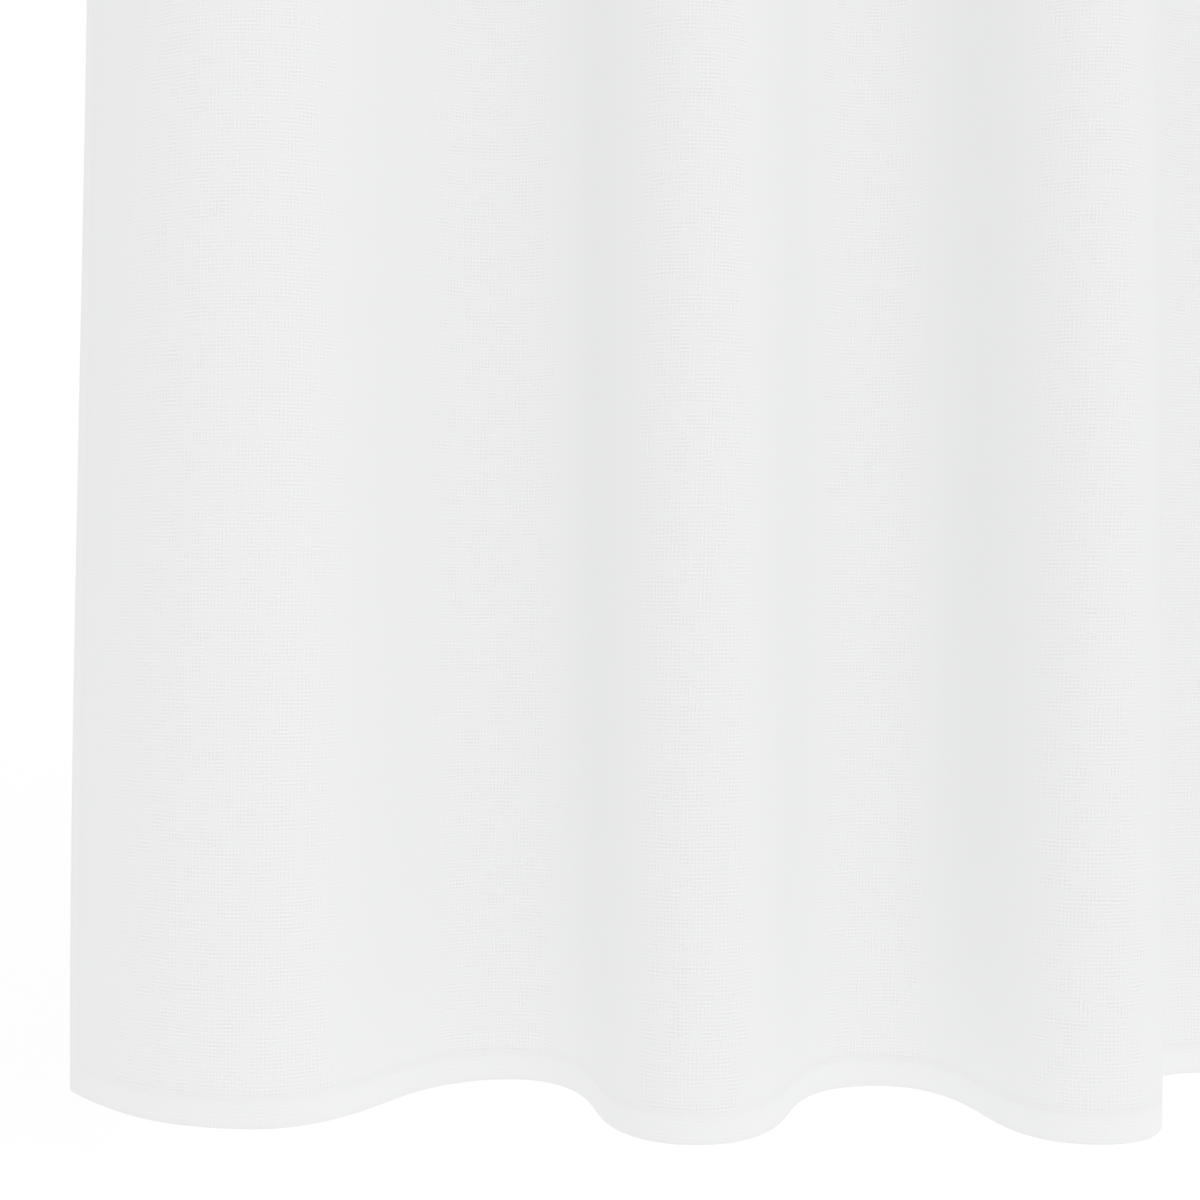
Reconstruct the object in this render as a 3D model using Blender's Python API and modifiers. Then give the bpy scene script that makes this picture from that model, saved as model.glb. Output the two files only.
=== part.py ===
"""A pair of plain woven curtains, hanging in soft folds from their top edges.

Metres, +Z up. The wall is behind, at +Y, and the curtains are seen from -Y. The origin is at
the middle of the pair's top edge, under the line that the curtains hang from.

Each curtain is one flat piece of cloth with a narrow hem turned to the back on all four sides.
It is laid out flat first and then bent, at each height, along a waving line in plan. The line
keeps its length, so the hanging cloth is as wide, measured along its folds, as it was cut.
"""
from typing import NamedTuple

import bmesh
import bpy
import numpy as np

MM = 0.001

# One curtain as it is cut and hemmed, laid flat
FLAT_WIDTH = 1.400
DROP = 2.250
SIDE_HEM = 0.012
BOTTOM_HEM = 0.018
HEADING_HEM = 0.040

# How thick the cloth is, once and where a hem doubles it
CLOTH_THICKNESS = 0.0012
HEM_THICKNESS = 0.0024
HEM_STEP = 0.0015

# The two curtains hang side by side with this much air between them at the top
GAP_BETWEEN = 0.036

# The folds are described at the heading, at knee height and at the hem. Going up, the hem's
# own shape has gone by the first height here, and the heading's shape begins at the second.
HEM_SHAPE_TOP = 0.900
HEADING_SHAPE_FOOT = 0.300

# Above 1 the crests and hollows are broad and round, and the cloth between them is straighter
FLANK_SHARPNESS = 1.2

# Fineness of the solids: cells across and up, and steps along the waving line.
# Above 1 the crowding packs the rows closer near the hem, where the folds change most.
CELLS_ACROSS = 92
CELLS_UP = 14
EVEN = 1.0
HEM_CROWDING = 1.5
PLAN_STEPS = 1400


class HalfFold(NamedTuple):
    """Cloth from a crest to the next hollow or back: flat width in mm, steepest turn in degrees.

    A minus sign turns the cloth towards the room, as seen while walking inwards from the outer
    edge, and a plus sign turns it towards the wall.
    """
    name: str
    heading_flat: float
    heading_turn: float
    knee_flat: float
    knee_turn: float
    hem_flat: float
    hem_turn: float


LEFT_FOLDS = (
    HalfFold("outer edge to crest 1", 130, -50, 135, -50, 144, -46),
    HalfFold("crest 1 to hollow 1", 163, 68, 166, 48, 171, 52),
    HalfFold("hollow 1 to crest 2", 163, -68, 161, -72, 170, -76),
    HalfFold("crest 2 to hollow 2", 163, 68, 156, 65, 163, 69),
    HalfFold("hollow 2 to crest 3", 163, -68, 143, -64, 157, -72),
    HalfFold("crest 3 to hollow 3", 163, 68, 163, 75, 180, 82),
    HalfFold("hollow 3 to crest 4", 163, -68, 172, -72, 168, -66),
    HalfFold("crest 4 to hollow 4", 163, 68, 164, 68, 158, 60),
    HalfFold("hollow 4 to inner edge", 129, -50, 140, -56, 89, -38),
)

RIGHT_FOLDS = (
    HalfFold("outer edge to crest 1", 130, -50, 142, -52, 150, -48),
    HalfFold("crest 1 to hollow 1", 163, 68, 168, 62, 176, 60),
    HalfFold("hollow 1 to crest 2", 163, -68, 158, -66, 160, -68),
    HalfFold("crest 2 to hollow 2", 163, 68, 166, 70, 170, 74),
    HalfFold("hollow 2 to crest 3", 163, -68, 160, -64, 166, -66),
    HalfFold("crest 3 to hollow 3", 163, 68, 152, 62, 158, 58),
    HalfFold("hollow 3 to crest 4", 163, -68, 170, -70, 176, -74),
    HalfFold("crest 4 to hollow 4", 163, 68, 160, 66, 164, 64),
    HalfFold("hollow 4 to inner edge", 129, -50, 124, -52, 80, -42),
)

# How far the outer edge stands out of plumb at the three heights
EDGE_FLARE = {"heading": 0.0, "knee": 0.005, "hem": 0.016}


def ease(value, low, high):
    """Goes smoothly from 0 at low to 1 at high."""
    t = min(max((value - low) / (high - low), 0.0), 1.0)
    return t * t * (3.0 - 2.0 * t)


def blend_levels(height, heading, knee, hem):
    """A value at a height above the lower edge, from its values at the three heights."""
    above_hem = (knee - hem) * ease(height, 0.0, HEM_SHAPE_TOP)
    towards_heading = (heading - knee) * ease(height, HEADING_SHAPE_FOOT, DROP)
    return hem + above_hem + towards_heading


def turns_along(folds, height, places):
    """The cloth's direction in plan, in radians from the curtain's plane, at flat places."""
    turn = np.zeros(len(places))
    start = 0.0
    for number, fold in enumerate(folds):
        flat = MM * blend_levels(height, fold.heading_flat, fold.knee_flat, fold.hem_flat)
        steepest = blend_levels(height, fold.heading_turn, fold.knee_turn, fold.hem_turn)
        if number == len(folds) - 1:
            flat = FLAT_WIDTH - start
        inside = (places >= start) & (places < start + flat)
        along = (places[inside] - start) / flat
        if number == 0:
            wave = np.cos(along * np.pi / 2.0)
        elif number == len(folds) - 1:
            wave = np.sin(along * np.pi / 2.0)
        else:
            wave = np.sin(along * np.pi)
        turn[inside] = np.radians(steepest) * wave ** FLANK_SHARPNESS
        start += flat
    return turn


def plan_line(folds, height, places):
    """Where flat places lie in plan: how far in from the outer edge's plumb line, and how deep."""
    step = FLAT_WIDTH / PLAN_STEPS
    middles = (np.arange(PLAN_STEPS) + 0.5) * step
    turn = turns_along(folds, height, middles)
    ends = np.arange(PLAN_STEPS + 1) * step
    inward = np.concatenate([[0.0], np.cumsum(np.cos(turn)) * step])
    depth = np.concatenate([[0.0], np.cumsum(np.sin(turn)) * step])
    inward -= blend_levels(height, EDGE_FLARE["heading"], EDGE_FLARE["knee"], EDGE_FLARE["hem"])
    depth -= depth.mean()
    return np.interp(places, ends, inward), np.interp(places, ends, depth)


def places_with_hems(length, first_hem, last_hem, cells, crowding):
    """Places along a side, crowded towards its start, with a close pair where each hem ends."""
    low = first_hem + HEM_STEP
    high = length - last_hem - HEM_STEP
    inner = low + (high - low) * np.linspace(0.0, 1.0, cells - 3) ** crowding
    return np.concatenate([[0.0, first_hem], inner, [length - last_hem, length]])


def in_hem(across, up):
    """Whether a flat place lies where the cloth is turned over."""
    on_side = across <= SIDE_HEM or across >= FLAT_WIDTH - SIDE_HEM
    on_end = up <= BOTTOM_HEM or up >= DROP - HEADING_HEM
    return on_side or on_end


def make_cloth_material(name, color):
    """Plain off-white cloth."""
    material = bpy.data.materials.new(name)
    material.use_nodes = True
    shader = material.node_tree.nodes["Principled BSDF"]
    shader.inputs["Base Color"].default_value = (*color, 1.0)
    shader.inputs["Roughness"].default_value = 0.9
    shader.inputs["Metallic"].default_value = 0.0
    return material


def make_curtain(name, folds, side, material, collection):
    """Builds one curtain as a single sheet. side is -1 for the left one and 1 for the right."""
    across_places = places_with_hems(FLAT_WIDTH, SIDE_HEM, SIDE_HEM, CELLS_ACROSS, EVEN)
    up_places = places_with_hems(DROP, BOTTOM_HEM, HEADING_HEM, CELLS_UP, HEM_CROWDING)
    heading_span = plan_line(folds, DROP, np.array([FLAT_WIDTH]))[0][0]
    outer_plumb = side * (GAP_BETWEEN / 2.0 + heading_span)

    sheet = bmesh.new()
    bmesh.ops.create_grid(sheet, x_segments=CELLS_ACROSS, y_segments=CELLS_UP, size=0.5)
    plans = [plan_line(folds, up, across_places) for up in up_places]
    hem_vertices = []
    for vertex in sheet.verts:
        column = round((vertex.co.x + 0.5) * CELLS_ACROSS)
        row = round((vertex.co.y + 0.5) * CELLS_UP)
        if side > 0:
            column = CELLS_ACROSS - column
        inward, depth = plans[row]
        if in_hem(across_places[column], up_places[row]):
            hem_vertices.append(vertex.index)
        vertex.co = (outer_plumb - side * inward[column], depth[column], up_places[row] - DROP)

    mesh = bpy.data.meshes.new(name)
    sheet.to_mesh(mesh)
    sheet.free()
    mesh.materials.append(material)
    mesh.shade_smooth()
    curtain = bpy.data.objects.new(name, mesh)
    collection.objects.link(curtain)

    # The room side stays one smooth face, and the turned hems add their thickness at the back
    hem_group = curtain.vertex_groups.new(name="hem")
    hem_group.add(hem_vertices, 1.0, "REPLACE")
    thicken = curtain.modifiers.new("cloth thickness", "SOLIDIFY")
    thicken.thickness = HEM_THICKNESS
    thicken.offset = -1.0
    thicken.vertex_group = hem_group.name
    thicken.thickness_vertex_group = CLOTH_THICKNESS / HEM_THICKNESS
    return curtain


def remove_start_objects():
    """Clears what a new file opens with."""
    for thing in list(bpy.data.objects):
        bpy.data.objects.remove(thing, do_unlink=True)


def build_pair():
    """Makes both curtains in a collection of their own."""
    pair = bpy.data.collections.new("pair of curtains")
    bpy.context.scene.collection.children.link(pair)
    cloth = make_cloth_material("off-white cloth", (0.80, 0.81, 0.80))
    make_curtain("curtain_left", LEFT_FOLDS, -1, cloth, pair)
    make_curtain("curtain_right", RIGHT_FOLDS, 1, cloth, pair)


remove_start_objects()
build_pair()
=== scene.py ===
# %% [markdown]
# # A pair of woven curtains
#
# Two plain off-white curtains hang side by side in soft folds. The cloth is a light plain weave of
# uneven threads, with a narrow hem turned to the back and sewn on every side. The solids in the
# frame already have the folds, so this script makes the cloth that is seen: a finer sheet on the
# same folds, its weave, its hems and its stitches. Everything is in metres.

# %% Load the frame
from typing import NamedTuple

import bmesh
import bpy
import numpy as np
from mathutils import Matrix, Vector


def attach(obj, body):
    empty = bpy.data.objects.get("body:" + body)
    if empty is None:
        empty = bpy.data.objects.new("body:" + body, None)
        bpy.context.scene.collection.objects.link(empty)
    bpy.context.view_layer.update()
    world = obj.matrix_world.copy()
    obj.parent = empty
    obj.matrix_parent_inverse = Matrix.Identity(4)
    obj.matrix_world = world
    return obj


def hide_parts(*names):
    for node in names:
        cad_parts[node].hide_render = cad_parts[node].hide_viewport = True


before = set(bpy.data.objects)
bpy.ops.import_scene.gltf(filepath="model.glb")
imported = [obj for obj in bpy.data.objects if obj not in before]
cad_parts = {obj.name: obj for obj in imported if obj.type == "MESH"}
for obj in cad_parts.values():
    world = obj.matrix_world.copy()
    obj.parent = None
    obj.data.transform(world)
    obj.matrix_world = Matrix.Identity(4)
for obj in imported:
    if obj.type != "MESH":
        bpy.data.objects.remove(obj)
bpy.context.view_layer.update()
print("nodes in the frame:", sorted(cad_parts))

# %% [markdown]
# ## The cloth as it was cut
#
# A curtain starts as a flat rectangle. Every place on it can be named by two flat distances: how
# far in from the outer edge, and how far up from the lower edge. The folds, the hems, the weave
# and the stitches all use these two distances, so they stay together when the cloth is bent.

# %% Sizes of the flat cloth
MM = 0.001
FLAT_WIDTH = 1.400
DROP = 2.250
SIDE_HEM = 12 * MM
BOTTOM_HEM = 18 * MM
HEADING_HEM = 40 * MM
GAP_BETWEEN = 36 * MM

CLOTH_THICKNESS = 0.5 * MM
HEM_THICKNESS = 1.5 * MM
SEAM_INSET = 2.0 * MM

print(f"each curtain is {FLAT_WIDTH:.2f} m by {DROP:.2f} m when it lies flat")

# %% [markdown]
# ## The folds
#
# Seen from above, the hanging cloth is a waving line. Its length can't change, only its
# direction, so the easiest description is the direction itself: along each half fold the cloth
# turns away from the curtain's plane, reaches its steepest turn in the middle and turns back.
# Each row of the table below is one half fold, with its flat width in millimetres and its
# steepest turn in degrees at three heights. Adding up small steps along the direction gives the
# line. A simulation could drape the cloth too, but it wouldn't fall into these folds.

# %% The tables of folds
class HalfFold(NamedTuple):
    name: str
    heading_flat: float
    heading_turn: float
    knee_flat: float
    knee_turn: float
    hem_flat: float
    hem_turn: float


LEFT_FOLDS = (
    HalfFold("outer edge to crest 1", 130, -50, 135, -50, 144, -46),
    HalfFold("crest 1 to hollow 1", 163, 68, 166, 48, 171, 52),
    HalfFold("hollow 1 to crest 2", 163, -68, 161, -72, 170, -76),
    HalfFold("crest 2 to hollow 2", 163, 68, 156, 65, 163, 69),
    HalfFold("hollow 2 to crest 3", 163, -68, 143, -64, 157, -72),
    HalfFold("crest 3 to hollow 3", 163, 68, 163, 75, 180, 82),
    HalfFold("hollow 3 to crest 4", 163, -68, 172, -72, 168, -66),
    HalfFold("crest 4 to hollow 4", 163, 68, 164, 68, 158, 60),
    HalfFold("hollow 4 to inner edge", 129, -50, 140, -56, 89, -38),
)

RIGHT_FOLDS = (
    HalfFold("outer edge to crest 1", 130, -50, 142, -52, 150, -48),
    HalfFold("crest 1 to hollow 1", 163, 68, 168, 62, 176, 60),
    HalfFold("hollow 1 to crest 2", 163, -68, 158, -66, 160, -68),
    HalfFold("crest 2 to hollow 2", 163, 68, 166, 70, 170, 74),
    HalfFold("hollow 2 to crest 3", 163, -68, 160, -64, 166, -66),
    HalfFold("crest 3 to hollow 3", 163, 68, 152, 62, 158, 58),
    HalfFold("hollow 3 to crest 4", 163, -68, 170, -70, 176, -74),
    HalfFold("crest 4 to hollow 4", 163, 68, 160, 66, 164, 64),
    HalfFold("hollow 4 to inner edge", 129, -50, 124, -52, 80, -42),
)

HEM_SHAPE_TOP = 0.900
HEADING_SHAPE_FOOT = 0.300
EDGE_FLARE = {"heading": 0.0, "knee": 0.005, "hem": 0.016}
FLANK_SHARPNESS = 1.2
PLAN_STEPS = 1400

print(len(LEFT_FOLDS), "half folds on the left,", len(RIGHT_FOLDS), "on the right")

# %% The line that the cloth follows at one height
def ease(value, low, high):
    """Goes smoothly from 0 at low to 1 at high."""
    t = min(max((value - low) / (high - low), 0.0), 1.0)
    return t * t * (3.0 - 2.0 * t)


def blend_levels(height, heading, knee, hem):
    """A value at a height above the lower edge, from its values at the three heights."""
    above_hem = (knee - hem) * ease(height, 0.0, HEM_SHAPE_TOP)
    towards_heading = (heading - knee) * ease(height, HEADING_SHAPE_FOOT, DROP)
    return hem + above_hem + towards_heading


def turns_along(folds, height, places):
    """The cloth's direction in plan, in radians from the curtain's plane, at flat places."""
    turn = np.zeros(len(places))
    start = 0.0
    for number, fold in enumerate(folds):
        flat = MM * blend_levels(height, fold.heading_flat, fold.knee_flat, fold.hem_flat)
        steepest = blend_levels(height, fold.heading_turn, fold.knee_turn, fold.hem_turn)
        if number == len(folds) - 1:
            flat = FLAT_WIDTH - start
        inside = (places >= start) & (places < start + flat)
        along = (places[inside] - start) / flat
        if number == 0:
            wave = np.cos(along * np.pi / 2.0)
        elif number == len(folds) - 1:
            wave = np.sin(along * np.pi / 2.0)
        else:
            wave = np.sin(along * np.pi)
        turn[inside] = np.radians(steepest) * wave ** FLANK_SHARPNESS
        start += flat
    return turn


def plan_line(folds, height, places):
    """Where flat places lie in plan: how far in from the outer edge's plumb line, and how deep."""
    step = FLAT_WIDTH / PLAN_STEPS
    middles = (np.arange(PLAN_STEPS) + 0.5) * step
    turn = turns_along(folds, height, middles)
    ends = np.arange(PLAN_STEPS + 1) * step
    inward = np.concatenate([[0.0], np.cumsum(np.cos(turn)) * step])
    depth = np.concatenate([[0.0], np.cumsum(np.sin(turn)) * step])
    inward -= blend_levels(height, EDGE_FLARE["heading"], EDGE_FLARE["knee"], EDGE_FLARE["hem"])
    depth -= depth.mean()
    return np.interp(places, ends, inward), np.interp(places, ends, depth)


def outer_plumb(folds, side):
    heading_span = plan_line(folds, DROP, np.array([FLAT_WIDTH]))[0][0]
    return side * (GAP_BETWEEN / 2.0 + heading_span)


print(f"the left curtain's outer edge hangs at x = {outer_plumb(LEFT_FOLDS, -1):.3f}")

# %% [markdown]
# ## The camera
#
# The picture is a close, level view of the lower left corner. The second crest of the left
# curtain makes a good landmark, because it comes nearest to the camera: the camera stands
# 0.81 m in front of it, a little to its left, and about 0.3 m above the lower edge.

# %% Place the camera
CAMERA_LENS = 45.0
CAMERA_SENSOR = 36.0
CAMERA_TO_CREST = 0.810
CREST_RIGHT_OF_AXIS = 0.052
CAMERA_ABOVE_HEM = 0.295


def crest_at_hem(folds, side, half_folds_before):
    flat = MM * sum(fold.hem_flat for fold in folds[:half_folds_before])
    inward, depth = plan_line(folds, 0.0, np.array([flat]))
    return Vector((outer_plumb(folds, side) - side * inward[0], depth[0], -DROP))


near_crest = crest_at_hem(LEFT_FOLDS, -1, 3)
camera_data = bpy.data.cameras.new("camera")
camera_data.lens = CAMERA_LENS
camera_data.sensor_width = CAMERA_SENSOR
camera = bpy.data.objects.new("camera", camera_data)
bpy.context.scene.collection.objects.link(camera)
camera.location = near_crest + Vector((-CREST_RIGHT_OF_AXIS, -CAMERA_TO_CREST, CAMERA_ABOVE_HEM))
camera.rotation_euler = (np.pi / 2.0, 0.0, 0.0)
bpy.context.scene.camera = camera
print("camera at", [round(value, 3) for value in camera.location])

# %% [markdown]
# ## Node trees, a little shorter
#
# The light and the weave are both sums worked out by nodes. These helpers add one node each and
# take either a plain number or the result of another node, so a sum reads like a formula.

# %% Small helpers for node trees
def feed(tree, socket, value):
    if isinstance(value, bpy.types.NodeSocket):
        tree.links.new(value, socket)
    else:
        socket.default_value = value


def number_node(tree, operation, *values):
    node = tree.nodes.new("ShaderNodeMath")
    node.operation = operation
    for socket, value in zip(node.inputs, values):
        feed(tree, socket, value)
    return node.outputs[0]


def place_node(tree, x, y, z=0.0):
    node = tree.nodes.new("ShaderNodeCombineXYZ")
    for socket, value in zip(node.inputs, (x, y, z)):
        feed(tree, socket, value)
    return node.outputs[0]


def noise_node(tree, place, scale, dimensions="3D"):
    node = tree.nodes.new("ShaderNodeTexNoise")
    node.noise_dimensions = dimensions
    tree.links.new(place, node.inputs["Vector"])
    node.inputs["Scale"].default_value = scale
    node.inputs["Detail"].default_value = 0.0
    return node.outputs["Fac"]


def smooth_step_node(tree, value, low, high, to_low=0.0, to_high=1.0):
    node = tree.nodes.new("ShaderNodeMapRange")
    node.interpolation_type = "SMOOTHSTEP"
    for socket, number in zip(node.inputs, (value, low, high, to_low, to_high)):
        feed(tree, socket, number)
    return node.outputs["Result"]


def colour_mix_node(tree, share, low_colour, high_colour):
    """A colour that goes from one to the other; the node has sockets for numbers and vectors too."""
    node = tree.nodes.new("ShaderNodeMix")
    node.data_type = "RGBA"
    feed(tree, node.inputs["Factor"], share)
    first, second = [socket for socket in node.inputs if socket.type == "RGBA"]
    feed(tree, first, low_colour)
    feed(tree, second, high_colour)
    return next(socket for socket in node.outputs if socket.type == "RGBA")


print("helpers ready")

# %% [markdown]
# ## The studio
#
# The picture is a high-key one: white cloth on a white ground, brightened until the cloth is
# almost as white as the ground. Lamps could do this, but here the surround holds the light. It is
# even, with two wide soft glows in it: a big lamp at the right front, which makes the right side
# of each fold a little brighter, and a bright screen behind, whose light comes through the thin
# cloth and evens out the folds. Glows in the surround cast no hard shadow and render fast.
# Looked at directly, the surround is plain white from every side, like a studio's paper backdrop.

# %% Light all round, with two soft glows
class Glow(NamedTuple):
    name: str
    azimuth: float
    rise: float
    tightness: float
    strength: float


EVEN_LIGHT = 0.495
GLOWS = (
    Glow("large lamp at the right front", 62.0, 15.0, 3.0, 0.74),
    Glow("bright screen behind the cloth", -160.0, 15.0, 3.0, 0.68),
)
PICTURE_GAMMA = 2.0


def towards(glow):
    """Direction to a glow: azimuth 0 is the camera's side, and 90 is to the right."""
    azimuth, rise = np.radians(glow.azimuth), np.radians(glow.rise)
    return np.sin(azimuth) * np.cos(rise), -np.cos(azimuth) * np.cos(rise), np.sin(rise)


def add_glow(tree, direction, glow, light_so_far):
    facing = tree.nodes.new("ShaderNodeVectorMath")
    facing.label = glow.name
    facing.operation = "DOT_PRODUCT"
    tree.links.new(direction, facing.inputs[0])
    facing.inputs[1].default_value = towards(glow)
    near_side = number_node(tree, "MAXIMUM", facing.outputs["Value"], 0.0)
    lobe = number_node(tree, "POWER", near_side, glow.tightness)
    return number_node(tree, "MULTIPLY_ADD", lobe, glow.strength, light_so_far)


def make_surround():
    world = bpy.data.worlds.new("white surround")
    world.use_nodes = True
    tree = world.node_tree
    direction = tree.nodes.new("ShaderNodeTexCoord").outputs["Generated"]
    light = EVEN_LIGHT
    for glow in GLOWS:
        light = add_glow(tree, direction, glow, light)
    seen = tree.nodes.new("ShaderNodeLightPath").outputs["Is Camera Ray"]
    up_to_white = number_node(tree, "SUBTRACT", 1.0, light)
    strength = number_node(tree, "MULTIPLY_ADD", seen, up_to_white, light)
    background = tree.nodes["Background"]
    background.inputs["Color"].default_value = (1.0, 1.0, 1.0, 1.0)
    tree.links.new(strength, background.inputs["Strength"])
    world.cycles.sampling_method = "NONE"
    bpy.context.scene.world = world


make_surround()
view = bpy.context.scene.view_settings
view.view_transform = "Standard"
view.gamma = PICTURE_GAMMA
print("light all round, with", len(GLOWS), "soft glows in it")

# %% [markdown]
# The floor is a plain white sheet a little below the hems. It is lit from below too, as a studio
# table is, so that it stays as white as the surround and no horizon shows. It glows a little more
# towards the middle of the pair, which lifts the light on that side of the folds. So large and
# soft a glow needs no sampling as a lamp, and the render is a third faster without it.

# %% A white floor that is lit as well
FLOOR_DROP = 0.030
FLOOR_SIZE = 12.0
FLOOR_WHITE = 0.93
FLOOR_ROUGHNESS = 0.9
GLOW_AT_OUTER_EDGE = 0.35
GLOW_AT_MIDDLE = 0.44
OUTER_EDGE_X, MIDDLE_X = -1.15, -0.25


def make_floor_paint():
    """Matt white that glows a little, more of it towards the middle of the pair."""
    paint = bpy.data.materials.new("white floor")
    paint.use_nodes = True
    paint.cycles.emission_sampling = "NONE"
    tree = paint.node_tree
    shader = tree.nodes["Principled BSDF"]
    shader.inputs["Base Color"].default_value = (FLOOR_WHITE,) * 3 + (1.0,)
    shader.inputs["Roughness"].default_value = FLOOR_ROUGHNESS
    shader.inputs["Specular IOR Level"].default_value = 0.0
    shader.inputs["Emission Color"].default_value = (1.0, 1.0, 1.0, 1.0)
    spot = tree.nodes.new("ShaderNodeTexCoord").outputs["Object"]
    split = tree.nodes.new("ShaderNodeSeparateXYZ")
    tree.links.new(spot, split.inputs["Vector"])
    ends = (OUTER_EDGE_X, MIDDLE_X, GLOW_AT_OUTER_EDGE, GLOW_AT_MIDDLE)
    glow = smooth_step_node(tree, split.outputs["X"], *ends)
    tree.links.new(glow, shader.inputs["Emission Strength"])
    return paint


def make_floor():
    grid = bmesh.new()
    bmesh.ops.create_grid(grid, x_segments=1, y_segments=1, size=FLOOR_SIZE / 2.0)
    bmesh.ops.translate(grid, verts=grid.verts, vec=(0.0, 0.0, -DROP - FLOOR_DROP))
    mesh = bpy.data.meshes.new("floor")
    grid.to_mesh(mesh)
    grid.free()
    floor = bpy.data.objects.new("floor", mesh)
    bpy.context.scene.collection.objects.link(floor)
    mesh.materials.append(make_floor_paint())


make_floor()
print(f"the floor lies {FLOOR_DROP / MM:.0f} mm below the hems")

# %% [markdown]
# ## Where the mesh needs its points
#
# The sheet is a grid of flat places. Even cells of a few millimetres are enough for the folds,
# and the hems need more: the edge of the cloth is rounded, and beside each seam the surface dips
# where the thread pulls it in. So extra places are put at both, and the rest are spread evenly.

# %% Flat places across and up
CELLS_ACROSS = 230
CELLS_UP = 110
EDGE_ROUND = 0.8 * MM
SEAM_DIP_WIDTH = 1.6 * MM
SHARES_OF_EDGE = (0.0, 0.25, 0.6, 1.0, 1.4, 2.5)
SHARES_OF_DIP = (-1.6, -1.0, -0.5, 0.0, 0.5)
PAST_HEM = (0.0, 0.8 * MM, 3.0 * MM)


def hem_places(hem):
    """Flat places from the cloth's edge to just past one hem."""
    seam = hem - SEAM_INSET
    round_edge = [share * EDGE_ROUND for share in SHARES_OF_EDGE]
    dip = [seam + share * SEAM_DIP_WIDTH for share in SHARES_OF_DIP]
    step = [hem + past for past in PAST_HEM]
    return round_edge + dip + step


def places_with_hems(length, first_hem, last_hem, cells):
    first = hem_places(first_hem)
    last = [length - place for place in reversed(hem_places(last_hem))]
    between = np.linspace(first[-1], last[0], cells - len(first) - len(last) + 2)
    return np.concatenate([first[:-1], between, last[1:]])


across_places = places_with_hems(FLAT_WIDTH, SIDE_HEM, SIDE_HEM, CELLS_ACROSS)
up_places = places_with_hems(DROP, BOTTOM_HEM, HEADING_HEM, CELLS_UP)
print(len(across_places), "places across and", len(up_places), "up")

# %% [markdown]
# ## The small relief of the surface
#
# On top of the folds the cloth isn't quite even. Long shallow swells run down it, the edges are
# rounded where the hem is folded over, and a soft groove follows each seam. Each curtain has a
# seed of its own, so that the swells fall differently.

# %% Relief at flat places
class Swell(NamedTuple):
    across_length: float
    up_length: float
    height: float


SWELLS = (
    Swell(0.230, 1.90, 0.9 * MM),
    Swell(0.120, 1.10, 0.5 * MM),
    Swell(0.068, 0.60, 0.25 * MM),
)
SWELL_SWAY = 0.8
SEAM_DIP = 0.18 * MM
LEFT_SEED, RIGHT_SEED = 11, 23


def swell_relief(across, up, seed):
    """Long shallow waves that lean a little to either side."""
    phases = np.random.default_rng(seed).uniform(0.0, 2.0 * np.pi, (len(SWELLS), 3))
    relief = np.zeros(len(across))
    for swell, (phase_across, phase_up, phase_mix) in zip(SWELLS, phases):
        sway = SWELL_SWAY * np.sin(2.0 * np.pi * up / swell.up_length + phase_mix)
        wave = np.sin(2.0 * np.pi * across / swell.across_length + phase_across + sway)
        relief += swell.height * wave * np.cos(np.pi * up / swell.up_length + phase_up)
    return relief


def edge_distance(across, up):
    sides = np.minimum(across, FLAT_WIDTH - across)
    return np.minimum(sides, min(up, DROP - up))


def edge_relief(across, up):
    """A quarter of a circle, flattened, where the cloth is folded over at its edges."""
    distance = edge_distance(across, up)
    short = np.clip(1.0 - distance / EDGE_ROUND, 0.0, 1.0)
    return -0.5 * HEM_THICKNESS * (1.0 - np.sqrt(1.0 - short * short))


def seam_relief(across, up):
    """A soft groove along each seam."""
    side_seam = np.minimum(across, FLAT_WIDTH - across) - (SIDE_HEM - SEAM_INSET)
    end_seam = min(abs(up - (BOTTOM_HEM - SEAM_INSET)), abs(DROP - up - (HEADING_HEM - SEAM_INSET)))
    nearest = np.minimum(np.abs(side_seam), end_seam) / SEAM_DIP_WIDTH
    return -SEAM_DIP * np.exp(-nearest * nearest * 2.0)


def relief_at(across, up, seed):
    """How far the surface stands out from the even folds, at flat places on one row."""
    return swell_relief(across, up, seed) + edge_relief(across, up) + seam_relief(across, up)


print(f"the swells rise {sum(swell.height for swell in SWELLS) / MM:.2f} mm at most")

# %% [markdown]
# ## Bend the flat grid into a curtain
#
# Blender's grid gives the faces. Each vertex is then moved to the hung place of its flat place,
# and pushed out along the cloth's own normal by the relief. The flat distances are kept as the UV
# map, in metres, so the weave follows the threads round every fold. Solidify gives the cloth its
# thickness at the back, more of it where the hem doubles the cloth. Two attributes of the mesh are
# for the material to read: where the hem is, and how strongly the weave's light and dark show. The
# second is painted light: the weave is clear where the cloth faces squarely to the front, on the
# crests and in the hollows, and faint on the flanks between them. This follows how the light falls
# on the folds, not any change in the cloth.

# %% Build one sheet
# How strongly the weave's painted light and shade shows, by how squarely the cloth faces the front:
# full above FULL_SQUARE, down to ON_FLANKS on the flanks.
FLANK_SQUARE, FULL_SQUARE = 0.70, 0.97
ON_FLANKS = 0.15


def hung_point(folds, side, plumb, across, up, relief):
    """Hung places of flat places on one row. side is -1 for the left curtain and 1 for the right."""
    inward, depth = plan_line(folds, up, across)
    turn = turns_along(folds, up, across)
    x = plumb - side * inward - side * np.sin(turn) * relief
    y = depth - np.cos(turn) * relief
    z = np.full(len(across), up - DROP)
    return np.stack([x, y, z], axis=1)


def in_hem(across, up):
    on_side = across <= SIDE_HEM or across >= FLAT_WIDTH - SIDE_HEM
    on_end = up <= BOTTOM_HEM or up >= DROP - HEADING_HEM
    return on_side or on_end


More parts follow.
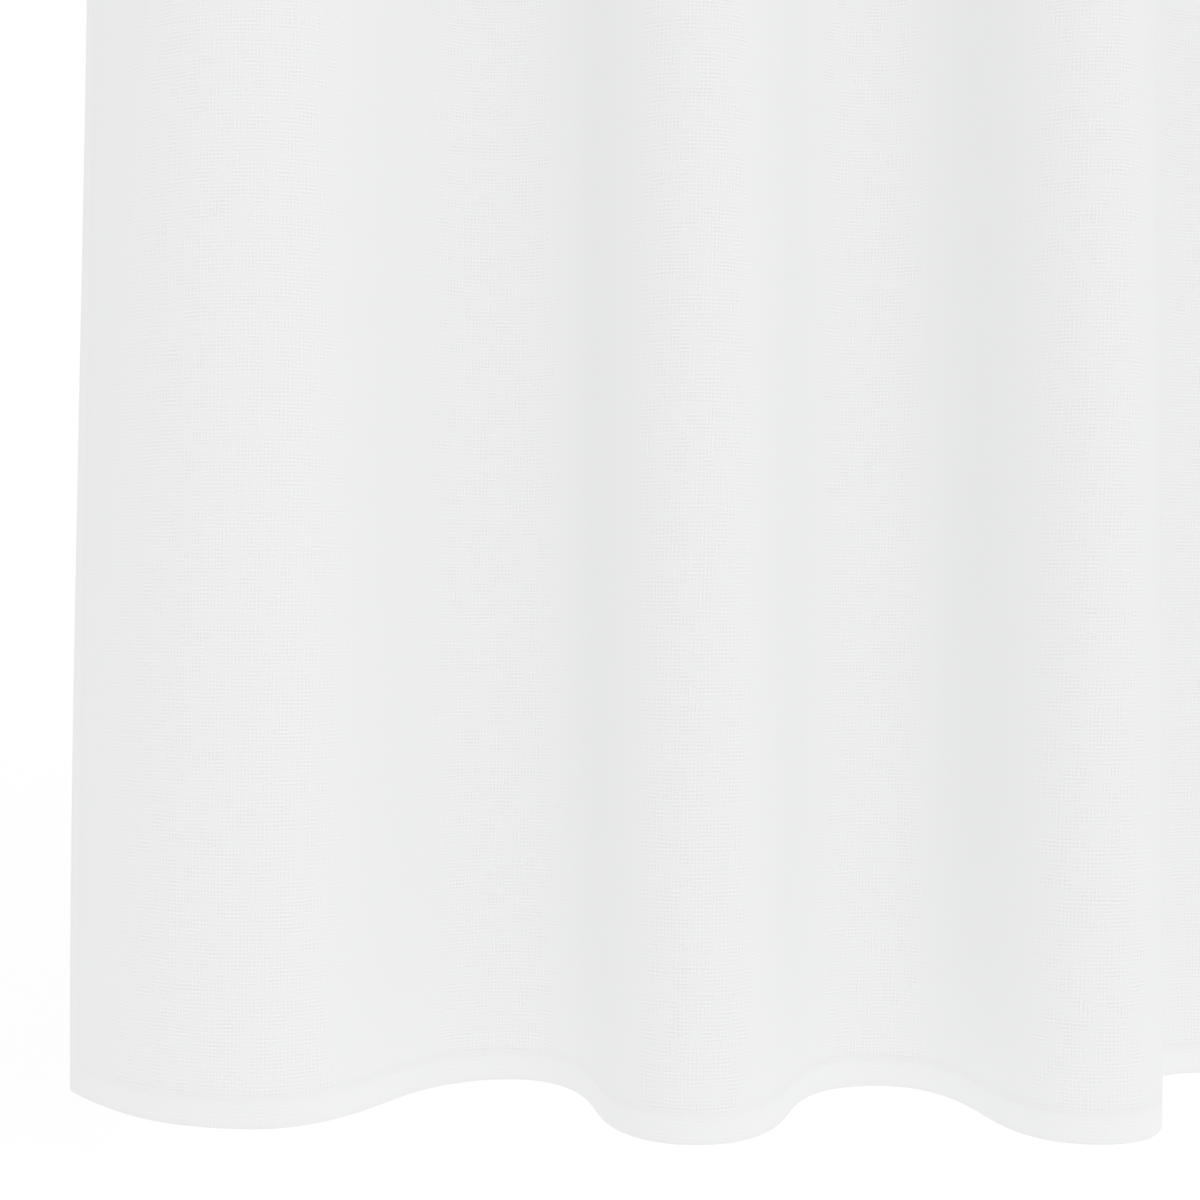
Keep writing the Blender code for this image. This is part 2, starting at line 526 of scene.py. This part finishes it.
def painted_weave_light_by_facing(folds, up, across):
    """How strongly the weave's painted light and shade shows: fully where the cloth is square to the
    room, faintly on the flanks.
    """
    square = np.cos(turns_along(folds, up, across))
    share = np.clip((square - FLANK_SQUARE) / (FULL_SQUARE - FLANK_SQUARE), 0.0, 1.0)
    return ON_FLANKS + (1.0 - ON_FLANKS) * share * share * (3.0 - 2.0 * share)


def keep_flat_places(mesh, flat):
    """Keeps each vertex's flat place as the UV map, in metres."""
    corners = np.zeros(len(mesh.loops), dtype=np.int32)
    mesh.loops.foreach_get("vertex_index", corners)
    flat_map = mesh.uv_layers.new(name="flat cloth")
    flat_map.uv.foreach_set("vector", flat[corners].astype(np.float32).ravel())


def mark_hems_and_weave(mesh, hem_vertices, weave):
    """The two attributes that the material reads."""
    hem_share = mesh.attributes.new("hem share", "FLOAT", "POINT")
    for index in hem_vertices:
        hem_share.data[index].value = 1.0
    mesh.attributes.new("painted weave light share", "FLOAT", "POINT").data.foreach_set("value", weave)


def add_thickness(sheet, hem_vertices):
    """Thickens the cloth at its back, more at the hems."""
    hem_group = sheet.vertex_groups.new(name="hem")
    hem_group.add(hem_vertices, 1.0, "REPLACE")
    thicken = sheet.modifiers.new("cloth thickness", "SOLIDIFY")
    thicken.thickness = HEM_THICKNESS
    thicken.offset = -1.0
    thicken.vertex_group = hem_group.name
    thicken.thickness_vertex_group = CLOTH_THICKNESS / HEM_THICKNESS


def make_sheet(name, folds, side, seed):
    """Bends one flat grid into a curtain and gives it its thickness."""
    columns, rows = len(across_places) - 1, len(up_places) - 1
    plumb = outer_plumb(folds, side)
    hung = [
        hung_point(folds, side, plumb, across_places, up, relief_at(across_places, up, seed))
        for up in up_places
    ]
    shown = [painted_weave_light_by_facing(folds, up, across_places) for up in up_places]
    grid = bmesh.new()
    bmesh.ops.create_grid(grid, x_segments=columns, y_segments=rows, size=0.5)
    flat = np.zeros((len(grid.verts), 2))
    weave = np.zeros(len(grid.verts), dtype=np.float32)
    hem_vertices = []
    for vertex in grid.verts:
        column = round((vertex.co.x + 0.5) * columns)
        row = round((vertex.co.y + 0.5) * rows)
        if side > 0:
            column = columns - column
        vertex.co = hung[row][column]
        flat[vertex.index] = (across_places[column], up_places[row])
        weave[vertex.index] = shown[row][column]
        if in_hem(*flat[vertex.index]):
            hem_vertices.append(vertex.index)
    mesh = bpy.data.meshes.new(name)
    grid.to_mesh(mesh)
    grid.free()

    keep_flat_places(mesh, flat)
    mark_hems_and_weave(mesh, hem_vertices, weave)
    mesh.shade_smooth()
    sheet = bpy.data.objects.new(name, mesh)
    bpy.context.scene.collection.objects.link(sheet)
    add_thickness(sheet, hem_vertices)
    print(name, "has", len(mesh.polygons), "faces before its thickness")
    return sheet


left_cloth = make_sheet("curtain_left_cloth", LEFT_FOLDS, -1, LEFT_SEED)
right_cloth = make_sheet("curtain_right_cloth", RIGHT_FOLDS, 1, RIGHT_SEED)

# %% [markdown]
# ## The woven finish
#
# The cloth is a plain weave: warp threads run down, weft threads across, and each passes over
# and under the next. The threads are uneven, thick for a stretch and then thin, so the weave shows
# in patches. Modelled threads would need millions of faces, and a picture of cloth would repeat.
# Here each set of threads is a cosine of the flat distance, bent a little by a noise. A second
# noise, which changes along a thread and not across it, makes its slubs. The product of two slower
# cosines tells which set lies on top, and a third noise makes the patches. The sum is around zero:
# high on a thread, low in the gaps, and it mixes a light thread colour with a greyer gap colour.
# That light and dark is partly the uneven threads' own and partly painted: painted shade in the
# gaps and painted highlights on the raised threads, in place of a bump. As a bump the same sum
# would slow the render and hardly show in such soft light.
#
# The cloth lets light through, so the material mixes Principled with Translucent.

# %% How high the weave stands at a flat place
THREAD_PITCH = 2.05 * MM
THREAD_WANDER = 1.1 * MM
BENDS_ACROSS, BENDS_ALONG = 130.0, 40.0
SLUBS_PER_METRE = 150.0
LANES_APART = 1.37
THICKNESS_MIDDLE, THICKNESS_SPREAD = 0.75, 3.6
WARP_SHARE, WEFT_SHARE = 0.42, 0.62
OVER_UNDER = 0.8
PATCHES_PER_METRE = 105.0
CLEARNESS_MIDDLE, CLEARNESS_SPREAD = 0.85, 2.6
WARP_SEED, WEFT_SEED, PATCH_SEED = 17.3, 63.8, 31.6


def cloth_noise(tree, x, y, x_scale, y_scale, seed):
    """Smooth flat noise with so many features to each unit of x and of y."""
    x = number_node(tree, "MULTIPLY_ADD", x, x_scale, seed)
    y = number_node(tree, "MULTIPLY_ADD", y, y_scale, seed)
    return noise_node(tree, place_node(tree, x, y), 1.0, "2D")


def spread_node(tree, noise, middle, spread):
    """Noise around a half turned into values around another middle."""
    return number_node(tree, "MULTIPLY_ADD", noise, spread, middle - 0.5 * spread)


def one_thread_set(tree, across_thread, along_thread, seed):
    """Ridges of one set of threads, and the wave that tells over from under."""
    bend = cloth_noise(tree, across_thread, along_thread, BENDS_ACROSS, BENDS_ALONG, seed)
    wander = number_node(tree, "SUBTRACT", bend, 0.5)
    shifted = number_node(tree, "MULTIPLY_ADD", wander, THREAD_WANDER, across_thread)
    count = number_node(tree, "DIVIDE", shifted, THREAD_PITCH)
    ridge = number_node(tree, "COSINE", number_node(tree, "MULTIPLY", count, 2.0 * np.pi))
    lane = number_node(tree, "ROUND", count)
    slub = cloth_noise(tree, lane, along_thread, LANES_APART, SLUBS_PER_METRE, seed)
    thickness = spread_node(tree, slub, THICKNESS_MIDDLE, THICKNESS_SPREAD)
    parity = number_node(tree, "COSINE", number_node(tree, "MULTIPLY", count, np.pi))
    return number_node(tree, "MULTIPLY", ridge, thickness), parity


def on_top(tree, ridge, over, sign, share):
    """A ridge that is higher where its thread passes over the other set."""
    lift = number_node(tree, "MULTIPLY_ADD", over, sign * OVER_UNDER * share, share)
    return number_node(tree, "MULTIPLY", ridge, lift)


def weave_relief(tree, across, up, shown):
    """Around zero: about 1 where two threads cross and -1 in the gap between threads."""
    warp, warp_parity = one_thread_set(tree, across, up, WARP_SEED)
    weft, weft_parity = one_thread_set(tree, up, across, WEFT_SEED)
    over = number_node(tree, "MULTIPLY", warp_parity, weft_parity)
    warp = on_top(tree, warp, over, 1.0, WARP_SHARE)
    weft = on_top(tree, weft, over, -1.0, WEFT_SHARE)
    both = number_node(tree, "ADD", warp, weft)
    patch = cloth_noise(tree, across, up, PATCHES_PER_METRE, PATCHES_PER_METRE, PATCH_SEED)
    patchy = spread_node(tree, patch, CLEARNESS_MIDDLE, CLEARNESS_SPREAD)
    clearness = number_node(tree, "MULTIPLY", patchy, shown)
    return number_node(tree, "MULTIPLY", both, clearness)


print(f"{10 * MM / THREAD_PITCH:.1f} threads to a centimetre")

# %% The cloth material
# The gap and thread colours are partly the weave's own and partly painted: painted shade in the gaps
# between threads and painted highlights on the raised threads.
GAP_RELIEF, THREAD_RELIEF = -1.0, 0.9
GAP_COLOUR_WITH_PAINTED_SHADE = (0.824, 0.830, 0.827, 1.0)
THREAD_COLOUR_WITH_PAINTED_LIGHT = (0.986, 0.992, 0.989, 1.0)
HEM_COLOUR = (0.925, 0.931, 0.928, 1.0)
LIGHT_THROUGH = 0.65
HEM_EVENNESS = 0.6
CLOTH_ROUGHNESS = 0.95


def attribute_node(tree, name):
    node = tree.nodes.new("ShaderNodeAttribute")
    node.attribute_name = name
    return node.outputs["Fac"]


def make_cloth_material():
    material = bpy.data.materials.new("uneven plain weave")
    material.use_nodes = True
    tree = material.node_tree
    shader = tree.nodes["Principled BSDF"]
    output = tree.nodes["Material Output"]
    flat_map = tree.nodes.new("ShaderNodeUVMap")
    flat_map.uv_map = "flat cloth"
    split = tree.nodes.new("ShaderNodeSeparateXYZ")
    tree.links.new(flat_map.outputs["UV"], split.inputs["Vector"])
    # How strongly the weave's painted light and shade shows, by how squarely the cloth faces the
    # front.
    shown = attribute_node(tree, "painted weave light share")
    relief = weave_relief(tree, split.outputs["X"], split.outputs["Y"], shown)

    # Greyer gaps and lighter threads: painted shade and painted highlights on the weave's relief, on
    # top of its own uneven threads.
    thread = smooth_step_node(tree, relief, GAP_RELIEF, THREAD_RELIEF)
    colour = colour_mix_node(tree, thread, GAP_COLOUR_WITH_PAINTED_SHADE, THREAD_COLOUR_WITH_PAINTED_LIGHT)
    evened = number_node(tree, "MULTIPLY", attribute_node(tree, "hem share"), HEM_EVENNESS)
    colour = colour_mix_node(tree, evened, colour, HEM_COLOUR)

    tree.links.new(colour, shader.inputs["Base Color"])
    shader.inputs["Roughness"].default_value = CLOTH_ROUGHNESS
    shader.inputs["Specular IOR Level"].default_value = 0.0

    glow = tree.nodes.new("ShaderNodeBsdfTranslucent")
    tree.links.new(colour, glow.inputs["Color"])
    both = tree.nodes.new("ShaderNodeMixShader")
    both.inputs["Fac"].default_value = LIGHT_THROUGH
    tree.links.new(shader.outputs["BSDF"], both.inputs[1])
    tree.links.new(glow.outputs["BSDF"], both.inputs[2])
    tree.links.new(both.outputs["Shader"], output.inputs["Surface"])
    return material


cloth_material = make_cloth_material()
left_cloth.data.materials.append(cloth_material)
right_cloth.data.materials.append(cloth_material)
print("weave of", len(cloth_material.node_tree.nodes), "nodes")

# %% [markdown]
# ## The hem stitches
#
# One row of machine stitches holds each hem, about two millimetres inside the turned edge. A
# stitch is a short length of thread that dips into the cloth at both ends, so a long thin
# ellipsoid is close enough at this size. There are thousands of them, all alike, along a line:
# work for Geometry Nodes. The tree takes the seam lines, puts a point every stitch, turns one
# ellipsoid along the line at each point, and makes the result real mesh.

# %% The seam lines of one curtain
STITCH_PITCH = 3.4 * MM
STITCH_LENGTH = 2.7 * MM
THREAD_RADIUS = 0.19 * MM
SEAM_POINT_STEP = 6.0 * MM
SEAM_STOPS_SHORT = 2.0 * MM


def seam_flats(low_across, low_up, high_across, high_up):
    """Flat places along one straight seam."""
    count = round(max(high_across - low_across, high_up - low_up) / SEAM_POINT_STEP) + 1
    return np.linspace(low_across, high_across, count), np.linspace(low_up, high_up, count)


def seams_of_a_curtain():
    """The four straight seams: outer side, inner side, bottom and heading."""
    outer, inner = SIDE_HEM - SEAM_INSET, FLAT_WIDTH - SIDE_HEM + SEAM_INSET
    bottom, top = BOTTOM_HEM - SEAM_INSET, DROP - HEADING_HEM + SEAM_INSET
    end = SEAM_STOPS_SHORT
    return (
        seam_flats(outer, end, outer, DROP - end),
        seam_flats(inner, end, inner, DROP - end),
        seam_flats(end, bottom, FLAT_WIDTH - end, bottom),
        seam_flats(end, top, FLAT_WIDTH - end, top),
    )


def seam_points(folds, side, across, up, seed, behind):
    plumb = outer_plumb(folds, side)
    points = []
    for place, height in zip(across, up):
        place = np.array([place])
        relief = relief_at(place, height, seed) - behind
        points.append(hung_point(folds, side, plumb, place, height, relief)[0])
    return points


def make_seam_lines(name, folds, side, seed):
    vertices, edges = [], []
    for across, up in seams_of_a_curtain():
        for behind in (0.0, HEM_THICKNESS):
            points = seam_points(folds, side, across, up, seed, behind)
            first = len(vertices)
            vertices += points
            edges += [(first + step, first + step + 1) for step in range(len(points) - 1)]
    mesh = bpy.data.meshes.new(name)
    mesh.from_pydata(vertices, edges, [])
    lines = bpy.data.objects.new(name, mesh)
    bpy.context.scene.collection.objects.link(lines)
    print(name, "has", len(edges), "short edges of seam")
    return lines


print(len(seams_of_a_curtain()), "seams on each curtain")

# %% The tree that sews along a line
STITCH_SIDES, STITCH_RINGS = 6, 4


def add_input(tree, name, kind, value=None):
    socket = tree.interface.new_socket(name, in_out="INPUT", socket_type=kind)
    if value is not None:
        socket.default_value = value


def make_stitch_tree():
    tree = bpy.data.node_groups.new("stitches along seams", "GeometryNodeTree")
    add_input(tree, "Seams", "NodeSocketGeometry")
    add_input(tree, "Pitch", "NodeSocketFloat", STITCH_PITCH)
    add_input(tree, "Length", "NodeSocketFloat", STITCH_LENGTH)
    add_input(tree, "Thread radius", "NodeSocketFloat", THREAD_RADIUS)
    add_input(tree, "Thread", "NodeSocketMaterial")
    tree.interface.new_socket("Stitches", in_out="OUTPUT", socket_type="NodeSocketGeometry")
    given = tree.nodes.new("NodeGroupInput").outputs
    result = tree.nodes.new("NodeGroupOutput").inputs

    line = tree.nodes.new("GeometryNodeMeshToCurve")
    tree.links.new(given["Seams"], line.inputs["Mesh"])
    evenly = tree.nodes.new("GeometryNodeResampleCurve")
    evenly.mode = "LENGTH"
    tree.links.new(line.outputs["Curve"], evenly.inputs["Curve"])
    tree.links.new(given["Pitch"], evenly.inputs["Length"])

    ball = tree.nodes.new("GeometryNodeMeshUVSphere")
    ball.inputs["Segments"].default_value = STITCH_SIDES
    ball.inputs["Rings"].default_value = STITCH_RINGS
    ball.inputs["Radius"].default_value = 1.0
    half_length = number_node(tree, "MULTIPLY", given["Length"], 0.5)
    shape = place_node(tree, given["Thread radius"], given["Thread radius"], half_length)

    tangent = tree.nodes.new("GeometryNodeInputTangent")
    turn = tree.nodes.new("FunctionNodeAlignRotationToVector")
    turn.axis = "Z"
    tree.links.new(tangent.outputs["Tangent"], turn.inputs["Vector"])
    put = tree.nodes.new("GeometryNodeInstanceOnPoints")
    tree.links.new(evenly.outputs["Curve"], put.inputs["Points"])
    tree.links.new(ball.outputs["Mesh"], put.inputs["Instance"])
    tree.links.new(turn.outputs["Rotation"], put.inputs["Rotation"])
    tree.links.new(shape, put.inputs["Scale"])
    real = tree.nodes.new("GeometryNodeRealizeInstances")
    tree.links.new(put.outputs["Instances"], real.inputs["Geometry"])
    dress = tree.nodes.new("GeometryNodeSetMaterial")
    tree.links.new(real.outputs["Geometry"], dress.inputs["Geometry"])
    tree.links.new(given["Thread"], dress.inputs["Material"])
    tree.links.new(dress.outputs["Geometry"], result["Stitches"])
    return tree


stitch_tree = make_stitch_tree()
print("stitch tree of", len(stitch_tree.nodes), "nodes")

# %% The thread, and the stitches of both curtains
THREAD_WHITE = (0.93, 0.935, 0.93, 1.0)
THREAD_GREY = (0.86, 0.865, 0.86, 1.0)
FUZZ_PER_METRE = 1400.0
THREAD_ROUGHNESS, THREAD_GLOSS = 0.7, 0.2


def make_thread_material():
    """Matt sewing thread, a little uneven in colour."""
    material = bpy.data.materials.new("sewing thread")
    material.use_nodes = True
    tree = material.node_tree
    shader = tree.nodes["Principled BSDF"]
    spot = tree.nodes.new("ShaderNodeTexCoord").outputs["Object"]
    fuzz = noise_node(tree, spot, FUZZ_PER_METRE)
    colour = colour_mix_node(tree, fuzz, THREAD_GREY, THREAD_WHITE)
    tree.links.new(colour, shader.inputs["Base Color"])
    shader.inputs["Roughness"].default_value = THREAD_ROUGHNESS
    shader.inputs["Specular IOR Level"].default_value = THREAD_GLOSS
    return material


def sew(name, folds, side, seed, thread):
    lines = make_seam_lines(name + "_lines", folds, side, seed)
    nodes = lines.modifiers.new("sewing", "NODES")
    nodes.node_group = stitch_tree
    for item in stitch_tree.interface.items_tree:
        if item.name == "Thread":
            nodes[item.identifier] = thread
    evaluated = lines.evaluated_get(bpy.context.evaluated_depsgraph_get())
    mesh = bpy.data.meshes.new_from_object(evaluated)
    bpy.data.objects.remove(lines, do_unlink=True)
    mesh.shade_smooth()
    stitches = bpy.data.objects.new(name, mesh)
    bpy.context.scene.collection.objects.link(stitches)
    print(name, "has", len(mesh.polygons), "faces")
    return stitches


thread_material = make_thread_material()
left_stitches = sew("curtain_left_stitches", LEFT_FOLDS, -1, LEFT_SEED, thread_material)
right_stitches = sew("curtain_right_stitches", RIGHT_FOLDS, 1, RIGHT_SEED, thread_material)

# %% [markdown]
# ## Tie the pieces to the frame
#
# Each sheet stands for its solid and moves with the frame's only body.

for cloth, stitches, node in (
    (left_cloth, left_stitches, "curtain_left"),
    (right_cloth, right_stitches, "curtain_right"),
):
    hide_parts(node)
    print(cloth.name, "stands for", node)
    for piece in (cloth, stitches):
        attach(piece, "root")
